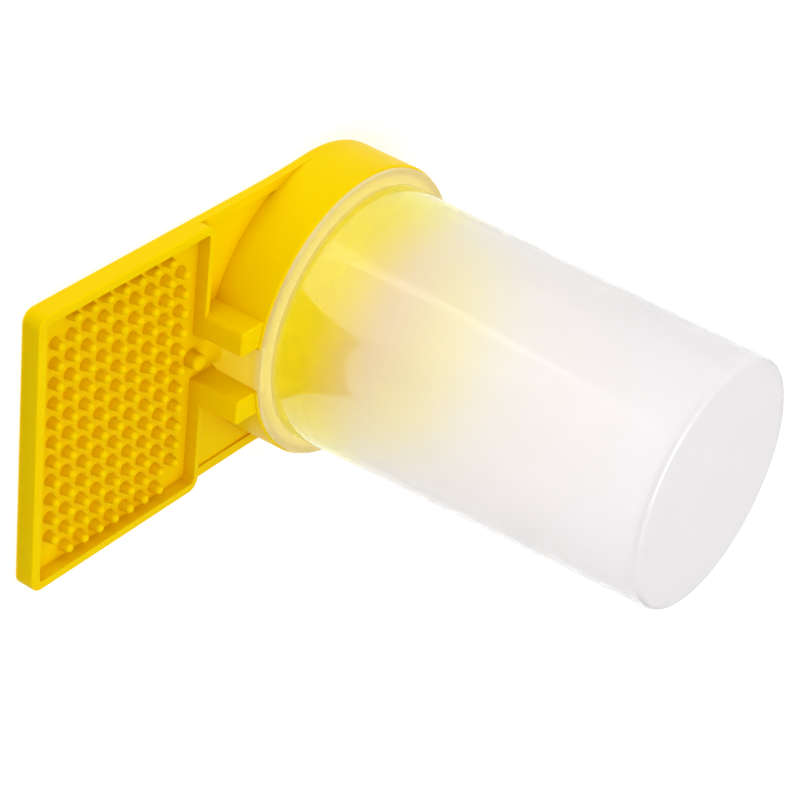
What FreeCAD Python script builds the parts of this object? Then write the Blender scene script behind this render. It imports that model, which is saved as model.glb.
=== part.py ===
"""Hive-entrance water feeder for bees: a pegged drinking tray with a round well, and an inverted cup.

Millimetres. The origin is on the well's axis, on the flat underside. +Z is up, as the feeder stands in use.
The tray runs out along -X, and the feeder is the same on both sides of the XZ plane.
"""
import FreeCAD, Part
import math
import os

# --- tray and base plate ---------------------------------------------------
TRAY_HALF_WIDTH = 39.0      # outside of the side walls
TRAY_END = 105.0            # from the well's axis to the outside of the end wall
TRAY_RIM_TOP = 5.6
TRAY_WALL = 2.5
TRAY_CORNER = 3.4           # outside corners, seen from above
TRAY_INNER_CORNER = 1.0
TRAY_FLOOR = 2.0            # top of the floor inside the tray, channel and well
CROSS_WALL_OUTSIDE = 43.95  # the tray's wall nearest the well, well side
CROSS_WALL_INSIDE = 45.7    # the same wall, tray side
LOW_RIM_TOP = 2.6           # side walls between the cross wall and the well
LOW_RIM_WALL = 2.8
DECK_TOP = 2.0              # sunk floor between the low side walls and the well
SIDE_BLEND = 250.0          # hollow curve that leads each side wall out to the well

# --- pegs the bees stand on --------------------------------------------------
PEG_COLUMNS = 9             # along the tray
PEG_ROWS = 13               # across the tray
PEG_PITCH = 5.5
PEG_FIRST_X = -96.4         # column nearest the free end
PEG_TOP = 5.3
PEG_FOOT_RADIUS = 1.6
PEG_TIP_RADIUS = 1.25

# --- guard post at the mouth of the channel --------------------------------
POST_X = -46.3
POST_RADIUS = 2.25
POST_TOP = 5.8
POST_ROUND = 1.0

# --- well that holds the cup -------------------------------------------------
WELL_RADIUS = 40.0          # outside, at the underside
WELL_TOP_RADIUS = 39.8      # outside, at the top: the wall has a little draft
WELL_BORE = 37.4
WELL_TOP = 17.9

# --- channel from the well to the tray, between two tall cheeks ------------
CHANNEL_HALF_WIDTH = 6.5
CHEEK_OUTSIDE = 13.4        # outer side of each cheek, from the middle plane
CHEEK_TOP = 17.4
CHEEK_CORNER = 1.1
CHEEK_EDGE = 0.6

# --- cup, upside down on the well -------------------------------------------
CUP_WALL = 1.2
CUP_MOUTH_RADIUS = 35.3     # outside of the tube, at the flange
CUP_END_RADIUS = 33.0       # outside of the tube, at the closed end
CUP_TOP = 125.4
CUP_END_ROUND = 1.3
FLANGE_RADIUS = 39.3
FLANGE_THICKNESS = 1.1
FLANGE_EDGE = 0.25
SPIGOT_CLEARANCE = 0.3      # all round, between the spigot and the well
SPIGOT_DEPTH = 5.0

# --- tongue that hangs from the flange into the channel --------------------
TONGUE_HALF_WIDTH = 5.9
TONGUE_FOOT_HALF_WIDTH = 5.4
TONGUE_THICKNESS = 1.2
TONGUE_FOOT = 3.9
TONGUE_CORNER = 1.6
NOTCH_RADIUS = 4.6          # arch in the tongue's foot that lets the water out
NOTCH_CENTRE = 2.0

# --- small edge rounds --------------------------------------------------------
RIM_EDGE = 0.5
UNDERSIDE_EDGE = 0.4
OVERCUT = 1.0               # how far a cutter runs past the face it opens


def extrude(edges, low, high):
    """A solid from a closed chain of flat edges drawn at z = 0."""
    face = Part.Face(Part.Wire(edges))
    solid = face.extrude(FreeCAD.Vector(0, 0, high - low))
    solid.translate(FreeCAD.Vector(0, 0, low))
    return solid


def point(x, y, z=0.0):
    return FreeCAD.Vector(x, y, z)


def line(start, end):
    return Part.LineSegment(start, end).toShape()


def arc(start, middle, end):
    return Part.Arc(start, middle, end).toShape()


def block(x_range, y_range, z_range):
    """A box given by its limits along each axis."""
    low = point(x_range[0], y_range[0], z_range[0])
    return Part.makeBox(
        x_range[1] - x_range[0],
        y_range[1] - y_range[0],
        z_range[1] - z_range[0],
        low,
    )


def upright_edges(solid):
    """The straight edges that run along Z."""
    found = []
    for edge in solid.Edges:
        box = edge.BoundBox
        if box.XLength < 1e-6 and box.YLength < 1e-6:
            found.append(edge)
    return found


def edges_at(solid, height):
    """The edges that lie in the flat plane at one height."""
    found = []
    for edge in solid.Edges:
        box = edge.BoundBox
        if abs(box.ZMin - height) < 1e-4 and abs(box.ZMax - height) < 1e-4:
            found.append(edge)
    return found


def rounded_block(x_range, y_range, z_range, corner):
    """A box with its four upright edges rounded."""
    solid = block(x_range, y_range, z_range)
    return solid.makeFillet(corner, upright_edges(solid))


def plate_outline():
    """Edges of the plate seen from above: tray end, two side walls led out to the well, and the well."""
    half = TRAY_HALF_WIDTH
    end = -TRAY_END
    corner = TRAY_CORNER
    bevel = corner * (1 - math.sqrt(0.5))
    reach = WELL_RADIUS + SIDE_BLEND
    blend_y = half + SIDE_BLEND
    blend_x = -math.sqrt(reach**2 - blend_y**2)
    meet_x = blend_x * WELL_RADIUS / reach
    meet_y = blend_y * WELL_RADIUS / reach
    half_turn = 0.5 * math.atan2(meet_x - blend_x, blend_y - meet_y)
    middle_x = blend_x + SIDE_BLEND * math.sin(half_turn)
    middle_y = blend_y - SIDE_BLEND * math.cos(half_turn)
    edges = [
        line(point(end, -half + corner), point(end, half - corner)),
        arc(point(end, half - corner), point(end + bevel, half - bevel), point(end + corner, half)),
        line(point(end + corner, half), point(blend_x, half)),
        arc(point(blend_x, half), point(middle_x, middle_y), point(meet_x, meet_y)),
        arc(point(meet_x, meet_y), point(WELL_RADIUS, 0), point(meet_x, -meet_y)),
        arc(point(meet_x, -meet_y), point(middle_x, -middle_y), point(blend_x, -half)),
        line(point(blend_x, -half), point(end + corner, -half)),
        arc(point(end + corner, -half), point(end + bevel, -half + bevel), point(end, -half + corner)),
    ]
    return edges


def plate():
    """The flat plate with the sunk deck on each side of the channel."""
    solid = extrude(plate_outline(), 0, LOW_RIM_TOP)
    solid = solid.makeFillet(UNDERSIDE_EDGE, edges_at(solid, 0))
    deck_half = TRAY_HALF_WIDTH - LOW_RIM_WALL
    deck = block(
        (-CROSS_WALL_OUTSIDE, 0),
        (-deck_half, deck_half),
        (DECK_TOP, LOW_RIM_TOP + OVERCUT),
    )
    return solid.cut(deck)


def tray_rim():
    """The raised rectangle of wall round the tray, still filled in."""
    solid = rounded_block(
        (-TRAY_END, -CROSS_WALL_OUTSIDE),
        (-TRAY_HALF_WIDTH, TRAY_HALF_WIDTH),
        (UNDERSIDE_EDGE, TRAY_RIM_TOP),
        TRAY_CORNER,
    )
    return solid.makeFillet(RIM_EDGE, edges_at(solid, TRAY_RIM_TOP))


def tray_pocket():
    """The space inside the tray's walls."""
    half = TRAY_HALF_WIDTH - TRAY_WALL
    return rounded_block(
        (-TRAY_END + TRAY_WALL, -CROSS_WALL_INSIDE),
        (-half, half),
        (TRAY_FLOOR, TRAY_RIM_TOP + OVERCUT),
        TRAY_INNER_CORNER,
    )


def cheek(side):
    """One tall cheek of the channel, on the +Y side for side = 1 and on the -Y side for side = -1."""
    edges_y = sorted((side * CHANNEL_HALF_WIDTH, side * CHEEK_OUTSIDE))
    solid = block((-CROSS_WALL_INSIDE, -WELL_BORE + TRAY_WALL), edges_y, (DECK_TOP / 2, CHEEK_TOP))
    front = []
    for edge in upright_edges(solid):
        if abs(edge.BoundBox.XMin + CROSS_WALL_INSIDE) < 1e-4:
            front.append(edge)
    solid = solid.makeFillet(CHEEK_CORNER, front)
    return solid.makeFillet(CHEEK_EDGE, edges_at(solid, CHEEK_TOP))


def peg(x, y):
    """One tapered peg with a round tip, its foot sunk a little into the floor."""
    foot = TRAY_FLOOR - 0.5
    shoulder = PEG_TOP - PEG_TIP_RADIUS
    slope = PEG_TIP_RADIUS * math.sqrt(0.5)
    profile = [
        line(point(0, 0, foot), point(PEG_FOOT_RADIUS, 0, foot)),
        line(point(PEG_FOOT_RADIUS, 0, foot), point(PEG_TIP_RADIUS, 0, shoulder)),
        arc(point(PEG_TIP_RADIUS, 0, shoulder), point(slope, 0, shoulder + slope), point(0, 0, PEG_TOP)),
        line(point(0, 0, PEG_TOP), point(0, 0, foot)),
    ]
    solid = Part.Face(Part.Wire(profile)).revolve(point(0, 0), point(0, 0, 1), 360)
    solid.translate(point(x, y))
    return solid


def pegs():
    """The field of pegs, with none in the tray's four corners."""
    found = []
    for column in range(PEG_COLUMNS):
        for row in range(PEG_ROWS):
            at_end = column in (0, PEG_COLUMNS - 1)
            at_side = row in (0, PEG_ROWS - 1)
            if at_end and at_side:
                continue
            x = PEG_FIRST_X + PEG_PITCH * column
            y = PEG_PITCH * (row - (PEG_ROWS - 1) / 2)
            found.append(peg(x, y))
    return found


def guard_post():
    """The thick post that keeps bees out of the channel."""
    foot = TRAY_FLOOR - 0.5
    solid = Part.makeCylinder(POST_RADIUS, POST_TOP - foot, point(POST_X, 0, foot))
    return solid.makeFillet(POST_ROUND, edges_at(solid, POST_TOP))


def base():
    """The one-piece moulding: tray, pegs, channel and well."""
    well = Part.makeCone(WELL_RADIUS, WELL_TOP_RADIUS, WELL_TOP)
    well = well.makeFillet(UNDERSIDE_EDGE, edges_at(well, 0) + edges_at(well, WELL_TOP))
    solid = plate().multiFuse([tray_rim(), well, cheek(1), cheek(-1)])
    bore = Part.makeCylinder(WELL_BORE, WELL_TOP, point(0, 0, TRAY_FLOOR))
    channel = block(
        (-CROSS_WALL_INSIDE - OVERCUT, 0),
        (-CHANNEL_HALF_WIDTH, CHANNEL_HALF_WIDTH),
        (TRAY_FLOOR, WELL_TOP + OVERCUT),
    )
    solid = solid.cut(tray_pocket().multiFuse([bore, channel]))
    solid = solid.multiFuse([guard_post()] + pegs())
    return solid.removeSplitter()


def cup_shell():
    """Tube, closed end, flange and spigot, turned as one profile."""
    flange_top = WELL_TOP + FLANGE_THICKNESS
    spigot = WELL_BORE - SPIGOT_CLEARANCE
    taper = (CUP_MOUTH_RADIUS - CUP_END_RADIUS) / (CUP_TOP - flange_top)
    round_foot = CUP_TOP - CUP_END_ROUND
    round_radius = CUP_END_RADIUS + taper * CUP_END_ROUND
    slope = CUP_END_ROUND * (1 - math.sqrt(0.5))
    inner_end = CUP_END_RADIUS - CUP_WALL
    inner_mouth = CUP_MOUTH_RADIUS - CUP_WALL
    foot = WELL_TOP - SPIGOT_DEPTH
    corners = [
        point(0, 0, CUP_TOP - CUP_WALL),
        point(inner_end, 0, CUP_TOP - CUP_WALL),
        point(inner_mouth, 0, WELL_TOP),
        point(spigot - CUP_WALL, 0, WELL_TOP),
        point(spigot - CUP_WALL, 0, foot),
        point(spigot, 0, foot),
        point(spigot, 0, WELL_TOP),
        point(FLANGE_RADIUS, 0, WELL_TOP),
        point(FLANGE_RADIUS, 0, flange_top - FLANGE_EDGE),
        point(FLANGE_RADIUS - FLANGE_EDGE, 0, flange_top),
        point(CUP_MOUTH_RADIUS, 0, flange_top),
        point(round_radius, 0, round_foot),
    ]
    edges = [line(a, b) for a, b in zip(corners, corners[1:])]
    crown = point(round_radius - CUP_END_ROUND, 0, CUP_TOP)
    edges.append(arc(corners[-1], point(round_radius - slope, 0, CUP_TOP - slope), crown))
    edges.append(line(crown, point(0, 0, CUP_TOP)))
    edges.append(line(point(0, 0, CUP_TOP), corners[0]))
    return Part.Face(Part.Wire(edges)).revolve(point(0, 0), point(0, 0, 1), 360)


def tongue():
    """The tongue under the flange: a curved strip with an arched notch in its foot."""
    root = WELL_TOP + FLANGE_THICKNESS / 2
    ring = Part.makeCylinder(FLANGE_RADIUS, root - TONGUE_FOOT, point(0, 0, TONGUE_FOOT))
    hole = Part.makeCylinder(FLANGE_RADIUS - TONGUE_THICKNESS, root, point(0, 0, TONGUE_FOOT - OVERCUT))
    front = -FLANGE_RADIUS - OVERCUT
    corners = [
        point(front, -TONGUE_FOOT_HALF_WIDTH, TONGUE_FOOT),
        point(front, TONGUE_FOOT_HALF_WIDTH, TONGUE_FOOT),
        point(front, TONGUE_HALF_WIDTH, root),
        point(front, -TONGUE_HALF_WIDTH, root),
    ]
    sides = [line(a, b) for a, b in zip(corners, corners[1:] + corners[:1])]
    slab = Part.Face(Part.Wire(sides)).extrude(point(FLANGE_RADIUS / 2, 0, 0))
    foot_edges = []
    for edge in slab.Edges:
        box = edge.BoundBox
        if box.XLength > 1 and box.ZMax < TONGUE_FOOT + 1e-4:
            foot_edges.append(edge)
    slab = slab.makeFillet(TONGUE_CORNER, foot_edges)
    notch = Part.makeCylinder(
        NOTCH_RADIUS, FLANGE_RADIUS, point(front - OVERCUT, 0, NOTCH_CENTRE), point(1, 0, 0)
    )
    return ring.cut(hole).common(slab).cut(notch)


def cup():
    """The one-piece cup with its flange, spigot and tongue."""
    return cup_shell().fuse(tongue()).removeSplitter()


def main():
    os.makedirs("parts", exist_ok=True)
    for name, shape in (("base", base()), ("cup", cup())):
        print(name, "valid", shape.isValid(), "solids", len(shape.Solids), "volume", round(shape.Volume, 1))
        shape.exportStep("parts/" + name + ".step")


main()
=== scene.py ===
"""Looks of the hive-entrance water feeder: yellow base, frosted cup, pale floor, soft studio light."""

import math

import bpy
from mathutils import Matrix, Quaternion, Vector


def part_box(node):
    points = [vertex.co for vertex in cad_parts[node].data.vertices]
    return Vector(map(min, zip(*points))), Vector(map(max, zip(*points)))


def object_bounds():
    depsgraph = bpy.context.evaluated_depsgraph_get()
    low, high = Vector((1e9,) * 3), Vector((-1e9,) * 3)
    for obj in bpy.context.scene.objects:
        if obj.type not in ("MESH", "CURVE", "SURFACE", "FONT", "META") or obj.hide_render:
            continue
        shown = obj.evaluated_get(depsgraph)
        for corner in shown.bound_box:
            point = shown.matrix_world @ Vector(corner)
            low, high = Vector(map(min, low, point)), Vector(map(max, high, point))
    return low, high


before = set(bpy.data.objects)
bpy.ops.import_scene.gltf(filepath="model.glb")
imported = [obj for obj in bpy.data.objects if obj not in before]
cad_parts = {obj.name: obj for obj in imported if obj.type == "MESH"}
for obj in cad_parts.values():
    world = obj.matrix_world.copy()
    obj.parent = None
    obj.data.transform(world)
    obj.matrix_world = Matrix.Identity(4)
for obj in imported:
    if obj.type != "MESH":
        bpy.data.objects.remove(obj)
CAD_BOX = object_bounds()
MM = 0.001

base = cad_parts["base"]
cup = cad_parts["cup"]

# --- heights in the frame ---------------------------------------------------------
WELL_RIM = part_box("base")[1].z
CUP_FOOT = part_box("cup")[0].z
CUP_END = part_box("cup")[1].z

# --- heights between which the cup's plastic, its painted yellow light and its painted glow change, as (from, to) ---
TONGUE_PAINTED_LIGHT_SPAN = (CUP_FOOT + 2.1 * MM, WELL_RIM - 0.9 * MM)
TONGUE_TO_FLANGE = (WELL_RIM - 1.4 * MM, WELL_RIM + 0.1 * MM)
FLANGE_TO_TUBE = (WELL_RIM + 1.3 * MM, WELL_RIM + 2.5 * MM)
PAINTED_YELLOW_TO_CLEAR = (WELL_RIM + 8.1 * MM, WELL_RIM + 31.1 * MM)
MILKY_MOUTH = (WELL_RIM + 32.1 * MM, WELL_RIM + 2.1 * MM)
MILKY_TONGUE = (WELL_RIM + 2.5 * MM, WELL_RIM - 0.9 * MM)
MILKY_END = (CUP_END - 2.9 * MM, CUP_END - 0.8 * MM)
GLOWING_TONGUE = (WELL_RIM + 2.1 * MM, WELL_RIM - 3.9 * MM)

# --- camera: place and aim in metres, turn about its own line of sight in degrees ---
CAMERA_PLACE = Vector((-0.48353, 0.36700, 0.34571))
CAMERA_AIM = Vector((0.00343, -0.02197, 0.03262))
CAMERA_ROLL = 116.59
CAMERA_LENS = 121.6
CAMERA_SENSOR = 36.0
CAMERA_NEAR = 0.01
CAMERA_FAR = 20.0

# --- floor ----------------------------------------------------------------------
FLOOR_REACH = 4.0
FLOOR_GAP = 0.1 * MM
FLOOR_GLOW = 0.52

# --- cards lying on the floor beside the feeder, in millimetres ---------------------
# The light cards share one side: a line from near the well to STREAK_STOP that bows outwards.
LIGHT_CARD_HEIGHT = 2 * MM
STREAK_START = (-22, 68)
STREAK_STOP = (-193, 337)
STREAK_BOW = 26
STREAK_WIDTH = 15
BROAD_CORNERS = ((-315, 230), (-130, 55), (-55, 40))
GREY_CARD_HEIGHT = 0.2 * MM
GREY_CARD_CORNERS = ((-105.5, -42), (-105.5, 42), (-128, 42), (-128, -42))

# --- colours, linear ------------------------------------------------------------
YELLOW = (0.88, 0.63, 0.0, 1.0)
YELLOW_FLOW = (0.87, 0.60, 0.0, 1.0)
# painted shade: the deeper orange laid into hollows and corners of the base
YELLOW_PAINTED_SHADE = (0.78, 0.45, 0.0, 1.0)
YELLOW_SHEEN = (1.0, 0.80, 0.08, 1.0)
# painted light: the yellow of the base seen through the milky cup, painted into its colour on the tongue, on
# the flange and on the tube near the mouth
TONGUE_FOOT_PAINTED_LIGHT = (0.97, 0.80, 0.01, 1.0)
TONGUE_ROOT_PAINTED_LIGHT = (0.97, 0.82, 0.12, 1.0)
FLANGE_PAINTED_LIGHT = (0.96, 0.87, 0.42, 1.0)
MOUTH_PAINTED_LIGHT = (0.98, 0.95, 0.01, 1.0)
# painted glow: the colour of a faint emission on the tongue and near the mouth
TONGUE_GLOW = (1.0, 0.88, 0.06, 1.0)
FROST = (0.960, 0.941, 0.958, 1.0)
FROST_DENSE = (0.938, 0.919, 0.936, 1.0)
FLOOR = (0.60, 0.60, 0.60, 1.0)
FLOOR_LIGHTER = (0.62, 0.62, 0.62, 1.0)
GREY = (0.75, 0.75, 0.75, 1.0)
WHITE = (1.0, 1.0, 1.0, 1.0)

# --- brightness of the studio's walls, on its -Y side and its +Y side ------------
WORLD_DIM = 0.38
WORLD_BRIGHT = 0.94


class Nodes:
    """Short calls that add nodes to one material and join them up."""

    def __init__(self, name):
        self.material = bpy.data.materials.new(name)
        self.material.use_nodes = True
        self.tree = self.material.node_tree
        self.tree.nodes.clear()
        self.place = self.add("ShaderNodeTexCoord").outputs["Object"]

    def add(self, kind, **settings):
        node = self.tree.nodes.new(kind)
        for key, value in settings.items():
            setattr(node, key, value)
        return node

    def join(self, output, socket):
        self.tree.links.new(output, socket)

    def stretched(self, scale):
        """The object's own coordinates, stretched by a scale along each axis."""
        node = self.add("ShaderNodeMapping")
        self.join(self.place, node.inputs["Vector"])
        node.inputs["Scale"].default_value = scale
        return node.outputs["Vector"]

    def noise(self, size, detail=2.0, rough=0.5, warp=0.0, along=(1.0, 1.0, 1.0)):
        """Soft noise whose blotches are about as wide as size, in metres."""
        node = self.add("ShaderNodeTexNoise")
        self.join(self.stretched(along), node.inputs["Vector"])
        node.inputs["Scale"].default_value = 1.0 / size
        node.inputs["Detail"].default_value = detail
        node.inputs["Roughness"].default_value = rough
        node.inputs["Distortion"].default_value = warp
        return node.outputs["Fac"]

    def spread(self, value, low, high, to_low=0.0, to_high=1.0, kind="LINEAR"):
        """A value brought from one range to another, and kept inside it."""
        node = self.add("ShaderNodeMapRange", interpolation_type=kind)
        self.join(value, node.inputs["Value"])
        node.inputs["From Min"].default_value = low
        node.inputs["From Max"].default_value = high
        node.inputs["To Min"].default_value = to_low
        node.inputs["To Max"].default_value = to_high
        return node.outputs["Result"]

    def math(self, operation, first, second):
        """Arithmetic on two values, each a number or another node's output."""
        node = self.add("ShaderNodeMath", operation=operation)
        for socket, value in zip(node.inputs, (first, second)):
            if isinstance(value, (int, float)):
                socket.default_value = value
            else:
                self.join(value, socket)
        return node.outputs["Value"]

    def blend(self, factor, first, second):
        """One colour turning into another as the factor goes from 0 to 1."""
        node = self.add("ShaderNodeMix", data_type="RGBA")
        self.join(factor, node.inputs["Factor"])
        for socket, value in ((node.inputs["A"], first), (node.inputs["B"], second)):
            if isinstance(value, tuple):
                socket.default_value = value
            else:
                self.join(value, socket)
        return node.outputs["Result"]

    def bump(self, height, depth, under=None):
        """Relief on the surface; depth is in metres."""
        node = self.add("ShaderNodeBump")
        self.join(height, node.inputs["Height"])
        node.inputs["Strength"].default_value = 1.0
        node.inputs["Distance"].default_value = depth
        if under is not None:
            self.join(under, node.inputs["Normal"])
        return node.outputs["Normal"]

    def plastic(self, colour, roughness, normal, through=None, glow=None, **constants):
        """Ends the material with a Principled shader; constants are set on its own sockets."""
        shader = self.add("ShaderNodeBsdfPrincipled")
        self.join(colour, shader.inputs["Base Color"])
        self.join(roughness, shader.inputs["Roughness"])
        self.join(normal, shader.inputs["Normal"])
        if through is not None:
            self.join(through, shader.inputs["Transmission Weight"])
        if glow is not None:
            self.join(glow, shader.inputs["Emission Strength"])
        for name, value in constants.items():
            shader.inputs[name.replace("_", " ")].default_value = value
        out = self.add("ShaderNodeOutputMaterial")
        self.join(shader.outputs["BSDF"], out.inputs["Surface"])
        return self.material


def yellow_plastic():
    """Moulded glossy plastic: slight flow marks, painted shade that deepens the colour in hollows, orange
    peel, rubbed patches.
    """
    n = Nodes("yellow_plastic")
    flow = n.noise(38 * MM, detail=3.0, warp=1.2, along=(1.0, 1.6, 1.0))
    cloud = n.noise(9 * MM, detail=2.0)
    mottled = n.math("ADD", n.math("MULTIPLY", flow, 0.7), n.math("MULTIPLY", cloud, 0.3))
    open_faces = n.blend(n.spread(mottled, 0.32, 0.68), YELLOW, YELLOW_FLOW)
    # painted shade: ambient occlusion turns the yellow a deeper orange in hollows, corners and between the
    # pegs
    painted_shade_ao = n.add("ShaderNodeAmbientOcclusion", samples=8, only_local=True)
    painted_shade_ao.inputs["Distance"].default_value = 7 * MM
    colour = n.blend(n.spread(painted_shade_ao.outputs["AO"], 0.85, 0.30), open_faces, YELLOW_PAINTED_SHADE)
    rubbed = n.noise(6 * MM, detail=5.0, rough=0.65)
    roughness = n.spread(rubbed, 0.3, 0.75, to_low=0.27, to_high=0.42)
    peel = n.bump(n.noise(0.9 * MM, detail=2.0), 0.010 * MM)
    waves = n.bump(n.noise(14 * MM, detail=1.0), 0.10 * MM, peel)
    return n.plastic(
        colour,
        roughness,
        waves,
        IOR=1.49,
        Subsurface_Weight=0.12,
        Subsurface_Radius=(2.2 * MM, 0.9 * MM, 0.1 * MM),
        Subsurface_Scale=1.0,
        Specular_IOR_Level=0.02,
        Specular_Tint=YELLOW_SHEEN,
    )


def frosted_plastic():
    """Milky translucent plastic: painted yellow light from the base on the tongue, flange and tube near the
    mouth, a painted glow on the tongue, cloudy thickness, frosted grain, flow lines.
    """
    n = Nodes("frosted_plastic")
    cloud = n.noise(16 * MM, detail=3.0, warp=0.8, along=(1.0, 1.0, 0.45))
    height = n.add("ShaderNodeSeparateXYZ")
    n.join(n.place, height.inputs["Vector"])
    up = height.outputs["Z"]
    body = n.blend(n.spread(cloud, 0.3, 0.7), FROST, FROST_DENSE)
    # painted light: the cup's colour turns yellow towards the tongue, flange and mouth, standing in for
    # light from the yellow base
    tube = n.blend(n.spread(up, *PAINTED_YELLOW_TO_CLEAR, kind="SMOOTHSTEP"), MOUTH_PAINTED_LIGHT, body)
    tongue = n.blend(n.spread(up, *TONGUE_PAINTED_LIGHT_SPAN), TONGUE_FOOT_PAINTED_LIGHT, TONGUE_ROOT_PAINTED_LIGHT)
    mouth = n.blend(n.spread(up, *FLANGE_TO_TUBE), FLANGE_PAINTED_LIGHT, tube)
    colour = n.blend(n.spread(up, *TONGUE_TO_FLANGE), tongue, mouth)
    grain = n.noise(0.7 * MM, detail=3.0, rough=0.6)
    rubbed = n.math("ADD", n.math("MULTIPLY", cloud, 0.6), n.math("MULTIPLY", grain, 0.4))
    roughness = n.spread(rubbed, 0.3, 0.7, to_low=0.42, to_high=0.52)
    fine = n.bump(grain, 0.012 * MM)
    lines = n.bump(n.noise(7 * MM, detail=2.0, along=(1.0, 1.0, 0.12)), 0.08 * MM, fine)
    near_mouth = n.spread(up, *MILKY_MOUTH)
    ends = n.math("ADD", n.spread(up, *MILKY_END), n.spread(up, *MILKY_TONGUE))
    milky = n.math("ADD", ends, n.math("MULTIPLY", near_mouth, 0.25))
    through = n.spread(milky, 0.0, 1.25, to_low=0.80, to_high=0.20)
    # painted glow: the tongue and the mouth give off a little light, standing in for light carried through
    # the milky plastic
    tongue_glow = n.spread(up, *GLOWING_TONGUE, to_low=0.0, to_high=0.12)
    glow = n.math("ADD", tongue_glow, n.math("MULTIPLY", near_mouth, 0.02))
    return n.plastic(
        colour,
        roughness,
        lines,
        through,
        glow,
        Emission_Color=TONGUE_GLOW,
        IOR=1.3,
        Specular_IOR_Level=0.3,
        Coat_Weight=1.0,
        Coat_IOR=1.7,
        Coat_Roughness=0.07,
    )


def matt_card(name, tone, lighter, **constants):
    """Plain matt card, very faintly mottled."""
    n = Nodes(name)
    colour = n.blend(n.noise(60 * MM), tone, lighter)
    roughness = n.spread(n.noise(5 * MM), 0.3, 0.7, 0.75, 0.9)
    grain = n.bump(n.noise(1 * MM), 0.01 * MM)
    return n.plastic(colour, roughness, grain, **constants)


def dress(node, material):
    """Gives every material slot of a CAD node the same material."""
    if not node.material_slots:
        node.data.materials.append(material)
    for slot in node.material_slots:
        slot.material = material


def bowed_line(start, stop, bow, steps=16):
    """Points from start to stop along a line that bows out to its right by bow at its middle."""
    along = Vector(stop) - Vector(start)
    aside = Vector((along.y, -along.x)).normalized()
    points = []
    for step in range(steps + 1):
        part = step / steps
        points.append(Vector(start) + along * part + aside * (4.0 * bow * part * (1.0 - part)))
    return points


def strip(side, width):
    """The outline of a strip: one side as given, the other moved to its left by width."""
    along = side[-1] - side[0]
    shift = Vector((-along.y, along.x)).normalized() * width
    return side + [point + shift for point in reversed(side)]


def make_floor():
    mesh = bpy.data.meshes.new("floor")
    reach = FLOOR_REACH
    corners = [(-reach, -reach, 0), (reach, -reach, 0), (reach, reach, 0), (-reach, reach, 0)]
    mesh.from_pydata(corners, [], [(0, 1, 2, 3)])
    mesh.materials.append(
        matt_card("floor_card", FLOOR, FLOOR_LIGHTER, Emission_Color=WHITE, Emission_Strength=FLOOR_GLOW)
    )
    floor = bpy.data.objects.new("floor", mesh)
    floor.location.z = CAD_BOX[0].z - FLOOR_GAP
    bpy.context.scene.collection.objects.link(floor)
    return floor


def make_camera():
    data = bpy.data.cameras.new("camera")
    data.lens = CAMERA_LENS
    data.sensor_width = CAMERA_SENSOR
    data.clip_start = CAMERA_NEAR
    data.clip_end = CAMERA_FAR
    camera = bpy.data.objects.new("camera", data)
    level = (CAMERA_AIM - CAMERA_PLACE).to_track_quat("-Z", "Y")
    roll = Quaternion((0.0, 0.0, 1.0), math.radians(CAMERA_ROLL))
    camera.matrix_world = Matrix.LocRotScale(CAMERA_PLACE, level @ roll, None)
    bpy.context.scene.collection.objects.link(camera)
    bpy.context.scene.camera = camera


def light_only(lamp, receivers):
    """Links a light to a few objects, so that it lights nothing else."""
    group = bpy.data.collections.new(lamp.name + "_receivers")
    for receiver in receivers:
        group.objects.link(receiver)
    lamp.light_linking.receiver_collection = group


def soft_light(name, place, aim, size, power, receivers):
    """A square area light; place, aim and size are in metres, power in watts."""
    data = bpy.data.lights.new(name, "AREA")
    data.shape = "SQUARE"
    data.size = size
    data.energy = power
    light = bpy.data.objects.new(name, data)
    light.location = place
    light.rotation_mode = "QUATERNION"
    light.rotation_quaternion = (Vector(aim) - Vector(place)).to_track_quat("-Z", "Y")
    bpy.context.scene.collection.objects.link(light)
    light_only(light, receivers)


def card(name, outline, height, material):
    """A flat card lying on the floor beside the feeder. The camera doesn't see it."""
    mesh = bpy.data.meshes.new(name)
    points = [(x * MM, y * MM, height) for x, y in outline]
    mesh.from_pydata(points, [], [tuple(range(len(points)))])
    mesh.materials.append(material)
    sheet = bpy.data.objects.new(name, mesh)
    sheet.visible_camera = False
    sheet.visible_transmission = False
    sheet.visible_shadow = False
    bpy.context.scene.collection.objects.link(sheet)
    return sheet


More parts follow.
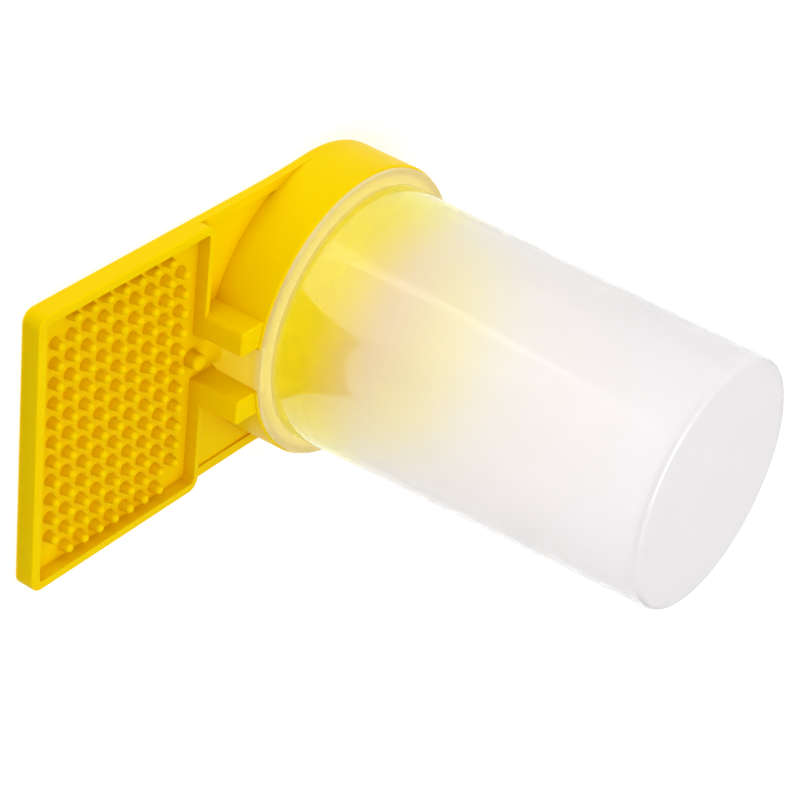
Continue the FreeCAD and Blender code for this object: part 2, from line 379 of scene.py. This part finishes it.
def light_card(name, outline, strength):
    """A glowing card that shows only as a reflection in the cup."""
    n = Nodes(name)
    glow = n.add("ShaderNodeEmission")
    glow.inputs["Strength"].default_value = strength
    out = n.add("ShaderNodeOutputMaterial")
    n.join(glow.outputs["Emission"], out.inputs["Surface"])
    sheet = card(name, outline, LIGHT_CARD_HEIGHT, n.material)
    sheet.visible_diffuse = False
    light_only(sheet, [cup])


def grey_card(name, outline):
    """A grey card that keeps some of the floor's light off the walls beside it."""
    sheet = card(name, outline, GREY_CARD_HEIGHT, matt_card(name, GREY, GREY))
    sheet.visible_glossy = False


def make_world():
    """Even white light from all round, somewhat stronger from the +Y side."""
    world = bpy.data.worlds.new("studio")
    world.use_nodes = True
    tree = world.node_tree
    background = tree.nodes["Background"]
    background.inputs["Color"].default_value = WHITE
    direction = tree.nodes.new("ShaderNodeTexCoord")
    split = tree.nodes.new("ShaderNodeSeparateXYZ")
    strength = tree.nodes.new("ShaderNodeMapRange")
    tree.links.new(direction.outputs["Generated"], split.inputs["Vector"])
    tree.links.new(split.outputs["Y"], strength.inputs["Value"])
    tree.links.new(strength.outputs["Result"], background.inputs["Strength"])
    strength.inputs["From Min"].default_value = -1.0
    strength.inputs["To Min"].default_value = WORLD_DIM
    strength.inputs["To Max"].default_value = WORLD_BRIGHT
    bpy.context.scene.world = world


dress(base, yellow_plastic())
dress(cup, frosted_plastic())
cup.visible_shadow = False
floor = make_floor()
make_camera()
make_world()

under_cup = [floor, base]
soft_light("key", place=(0.25, 1.1, 0.45), aim=(-0.02, 0, 0.02), size=0.6, power=1.4, receivers=under_cup)
soft_light("base_top", place=(-0.35, 0, 0.80), aim=(-0.03, 0, 0), size=0.5, power=2.7, receivers=under_cup)
soft_light("cup_top", place=(0.15, -0.1, 1.30), aim=(-0.03, 0, 0), size=0.7, power=5.4, receivers=[cup])
soft_light("cup_side", place=(-0.4, -1.1, 0.50), aim=(0, 0, 0.06), size=0.7, power=1.1, receivers=[cup])

streak_side = bowed_line(STREAK_START, STREAK_STOP, STREAK_BOW)
light_card("card_broad", streak_side + [Vector(corner) for corner in BROAD_CORNERS], strength=1.35)
light_card("card_edge", strip(streak_side, STREAK_WIDTH), strength=2.5)
grey_card("card_grey", GREY_CARD_CORNERS)

settings = bpy.context.scene.view_settings
settings.view_transform = "Standard"
settings.look = "None"
